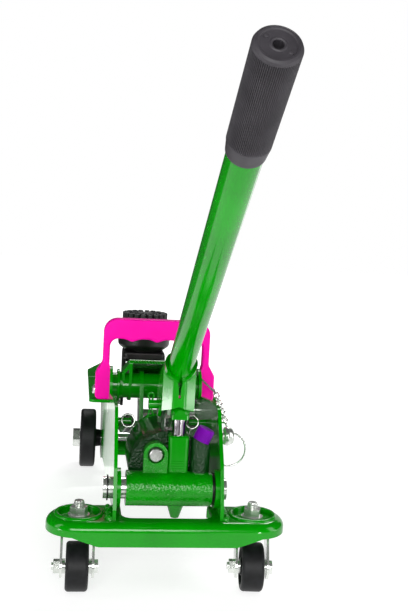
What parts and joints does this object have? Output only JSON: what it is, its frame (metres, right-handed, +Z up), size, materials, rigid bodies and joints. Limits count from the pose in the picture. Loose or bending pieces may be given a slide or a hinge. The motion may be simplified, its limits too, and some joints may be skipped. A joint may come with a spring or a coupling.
{
  "type": "hydraulic car jack",
  "caption": "Low trolley jack: steel side plates on wheels and swivel casters, a hydraulic unit, a lift arm with a level saddle, a pump handle and a carry handle.",
  "frame": {"origin": "on the floor, under the middle of the part's box", "axes": "+Y towards the jack's front, along its length; +Z up; +X to the right seen from behind"},
  "size_m": [0.2, 0.7122, 0.4035],
  "materials": {
    "green_paint": "gloss",
    "black_paint": "satin",
    "zinc_plate": "bright zinc",
    "bare_steel": "satin",
    "chrome_rod": "polished",
    "magenta_plastic": "semi-gloss",
    "purple_plastic": "semi-gloss",
    "grip_rubber": "matte, ribbed",
    "pad_rubber": "matte",
    "wheel_plastic": "matte"
  },
  "bodies": {
    "chassis": {"caster_plate": "green_paint", "side_plate_left": "green_paint", "side_plate_right": "green_paint", "stem_left": "zinc_plate", "stem_right": "zinc_plate", "stem_nut_left": "zinc_plate", "stem_nut_right": "zinc_plate", "front_axle": "zinc_plate", "tie_bar": "green_paint", "power_block": "green_paint", "trunnion_left": "zinc_plate", "trunnion_right": "zinc_plate", "overload_cap": "purple_plastic", "pump_cylinder": "green_paint", "reservoir": "green_paint", "filler_plug": "zinc_plate", "reservoir_cap": "green_paint", "cylinder": "bare_steel", "gland": "green_paint", "fulcrum_pin": "green_paint", "pivot_shaft": "green_paint", "link_stud_left": "zinc_plate", "link_stud_right": "zinc_plate", "carry_handle": "magenta_plastic", "return_spring_left": "zinc_plate", "return_spring_right": "zinc_plate", "spring_peg_left": "green_paint", "spring_peg_right": "green_paint", "chain": "zinc_plate"},
    "lift": {"lift_arm": "green_paint", "cross_tube": "green_paint", "lug_pin": "zinc_plate", "head_pin": "zinc_plate"},
    "carrier": {"saddle_carrier": "black_paint", "link_pin_left": "zinc_plate", "link_pin_right": "zinc_plate"},
    "saddle": {"saddle": "black_paint", "saddle_pad": "pad_rubber"},
    "link_left": {"level_link_left": "zinc_plate"},
    "link_right": {"level_link_right": "zinc_plate"},
    "ram": {"ram": "chrome_rod", "ram_head": "zinc_plate"},
    "socket": {"handle_socket": "green_paint"},
    "plunger": {"plunger": "chrome_rod", "plunger_head": "green_paint"},
    "handle": {"handle_tube": "green_paint", "grip": "grip_rubber"},
    "release_screw": {"release_screw": "zinc_plate"},
    "front_wheel_left": {"front_wheel_left": "wheel_plastic"},
    "front_wheel_right": {"front_wheel_right": "wheel_plastic"},
    "fork_left": {"caster_fork_left": "zinc_plate", "caster_axle_left": "zinc_plate"},
    "fork_right": {"caster_fork_right": "zinc_plate", "caster_axle_right": "zinc_plate"},
    "caster_left": {"caster_wheel_left": "wheel_plastic"},
    "caster_right": {"caster_wheel_right": "wheel_plastic"},
    "lock_pin": {"lock_pin": "zinc_plate", "pull_ring": "zinc_plate"}
  },
  "joints": [
    {"name": "lift_hinge", "type": "hinge", "parent": "chassis", "child": "lift", "pos_m": [0, 0.13707, 0.132], "axis": [1, 0, 0], "range_deg": [-10, 56], "deforming": ["return_spring_left", "return_spring_right"]},
    {"name": "carrier_hinge", "type": "hinge", "parent": "lift", "child": "carrier", "pos_m": [0, 0.30907, 0.105], "axis": [1, 0, 0], "range_deg": [-57, 11]},
    {"name": "saddle_swivel", "type": "hinge", "parent": "carrier", "child": "saddle", "pos_m": [0, 0.30907, 0.141], "axis": [0, 0, 1], "continuous": true},
    {"name": "link_left_hinge", "type": "hinge", "parent": "chassis", "child": "link_left", "pos_m": [-0.0406, 0.14257, 0.107], "axis": [1, 0, 0], "range_deg": [-11, 57]},
    {"name": "link_right_hinge", "type": "hinge", "parent": "chassis", "child": "link_right", "pos_m": [0.0406, 0.14257, 0.107], "axis": [1, 0, 0], "range_deg": [-11, 57]},
    {"name": "ram_slide", "type": "slide", "parent": "chassis", "child": "ram", "axis": [0, 1, 0], "range_m": [-0.0072, 0.0395]},
    {"name": "socket_hinge", "type": "hinge", "parent": "chassis", "child": "socket", "pos_m": [0.005, 0.00307, 0.1433], "axis": [1, 0, 0], "range_deg": [-30, 20]},
    {"name": "plunger_slide", "type": "slide", "parent": "chassis", "child": "plunger", "axis": [0, 0, -1], "range_m": [-0.0139, 0.0093]},
    {"name": "handle_slide", "type": "slide", "parent": "socket", "child": "handle", "axis": [0, -0.832, 0.5548], "range_m": [0, 0.055]},
    {"name": "release_turn", "type": "hinge", "parent": "chassis", "child": "release_screw", "pos_m": [-0.0111, -0.03193, 0.1076], "axis": [0, 1, 0], "range_deg": [0, 180]},
    {"name": "front_left_spin", "type": "hinge", "parent": "chassis", "child": "front_wheel_left", "pos_m": [-0.0616, 0.30207, 0.034], "axis": [1, 0, 0], "continuous": true},
    {"name": "front_right_spin", "type": "hinge", "parent": "chassis", "child": "front_wheel_right", "pos_m": [0.0616, 0.30207, 0.034], "axis": [1, 0, 0], "continuous": true},
    {"name": "fork_left_swivel", "type": "hinge", "parent": "chassis", "child": "fork_left", "pos_m": [-0.073, -0.03593, 0.046], "axis": [0, 0, 1], "continuous": true},
    {"name": "fork_right_swivel", "type": "hinge", "parent": "chassis", "child": "fork_right", "pos_m": [0.073, -0.03593, 0.046], "axis": [0, 0, 1], "continuous": true},
    {"name": "caster_left_spin", "type": "hinge", "parent": "fork_left", "child": "caster_left", "pos_m": [-0.073, -0.05393, 0.02], "axis": [1, 0, 0], "continuous": true},
    {"name": "caster_right_spin", "type": "hinge", "parent": "fork_right", "child": "caster_right", "pos_m": [0.07143, -0.05386, 0.02], "axis": [0.9962, -0.0872, 0], "continuous": true},
    {"name": "lock_slide", "type": "slide", "parent": "chassis", "child": "lock_pin", "axis": [1, 0, 0], "range_m": [0, 0.012]}
  ],
  "couplings": [
    {"joint": "carrier_hinge", "follows": "lift_hinge", "ratio": -1},
    {"joint": "link_left_hinge", "follows": "lift_hinge", "ratio": 1},
    {"joint": "link_right_hinge", "follows": "lift_hinge", "ratio": 1},
    {"joint": "ram_slide", "follows": "lift_hinge", "m_per_rad": 0.0398},
    {"joint": "plunger_slide", "follows": "socket_hinge", "m_per_rad": 0.0263}
  ]
}
